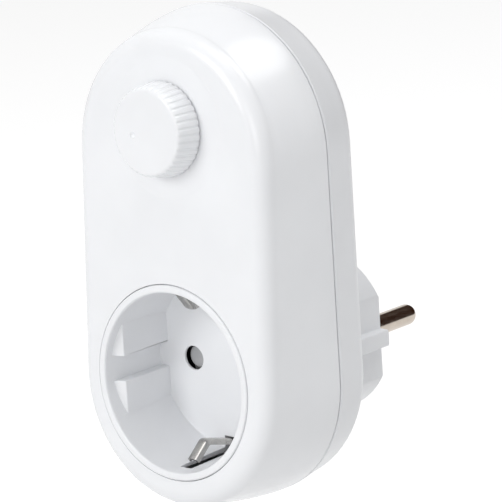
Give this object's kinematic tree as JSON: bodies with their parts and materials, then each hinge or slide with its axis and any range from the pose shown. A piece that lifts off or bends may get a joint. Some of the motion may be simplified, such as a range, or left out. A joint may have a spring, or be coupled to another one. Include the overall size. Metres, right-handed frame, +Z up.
{
  "type": "plug-in dimmer adaptor",
  "caption": "Plug-in mains dimmer: oval two-part white housing with a fluted rotary knob above an earthed socket, and an earthed plug with round pins on its back.",
  "frame": {"origin": "centre of the plug's end face, between the two contact pins", "axes": "+Y into the wall along the pins, +Z up, +X to the right seen from the front"},
  "size_m": [0.06, 0.0748, 0.1114],
  "materials": {
    "front_plastic": "gloss white moulded plastic",
    "rear_plastic": "gloss white moulded plastic",
    "insert_plastic": "gloss white moulded plastic",
    "knob_plastic": "gloss white moulded plastic",
    "shutter_plastic": "matt grey",
    "spring_steel": "drawn wire",
    "carrier_plastic": "matt black",
    "zinc_steel": "bright zinc",
    "brass": "pressed",
    "earth_strip": "nickel-plated strip",
    "pin_nickel": "polished nickel plate",
    "shaft_plastic": "matt",
    "pot_metal": "satin",
    "carbon_track": "matt",
    "board_laminate": "satin laminate",
    "component_black": "matt",
    "heatsink_aluminium": "mill finish",
    "core_grey": "satin",
    "enamelled_copper": "enamelled",
    "capacitor_yellow": "satin",
    "capacitor_red": "satin",
    "resistor_body": "satin",
    "diac_blue": "gloss",
    "fuse_glass": "clear",
    "nickel_caps": "bright",
    "clip_metal": "tinned",
    "wire_brown": "satin",
    "wire_black": "satin"
  },
  "bodies": {
    "housing": {"front_shell": "front_plastic", "rear_shell": "rear_plastic", "socket_insert": "insert_plastic", "shutter_spring": "spring_steel", "contact_carrier": "carrier_plastic", "carrier_screws": "zinc_steel", "live_contact": "brass", "neutral_contact": "brass", "earth_strip_top": "earth_strip", "earth_strip_bottom": "earth_strip", "earth_link": "earth_strip", "live_pin": "pin_nickel", "neutral_pin": "pin_nickel", "pin_retainer": "carrier_plastic", "retainer_screw": "zinc_steel", "pot_housing": "pot_metal", "pot_track": "carbon_track", "circuit_board": "board_laminate", "board_screws": "zinc_steel", "triac": "component_black", "heatsink": "heatsink_aluminium", "triac_screw": "zinc_steel", "choke_core": "core_grey", "choke_winding": "enamelled_copper", "mains_capacitor": "capacitor_yellow", "timing_capacitor": "capacitor_red", "resistors": "resistor_body", "diac": "diac_blue", "fuse_tube": "fuse_glass", "fuse_caps": "nickel_caps", "fuse_clips": "clip_metal", "live_wire": "wire_brown", "load_wire": "wire_black", "case_screws": "zinc_steel"},
    "knob": {"knob": "knob_plastic", "pot_shaft": "shaft_plastic"},
    "shutter": {"shutter": "shutter_plastic"}
  },
  "joints": [
    {"name": "knob_turn", "type": "hinge", "parent": "housing", "child": "knob", "pos_m": [0, -0.04855, 0.0564], "axis": [0, 0.9981, -0.061], "range_deg": [-45, 255]},
    {"name": "shutter_turn", "type": "hinge", "parent": "housing", "child": "shutter", "pos_m": [0, -0.0305, 0], "axis": [0, 1, 0], "range_deg": [0, 40], "stiffness_Nm_per_rad": 0.0005}
  ]
}
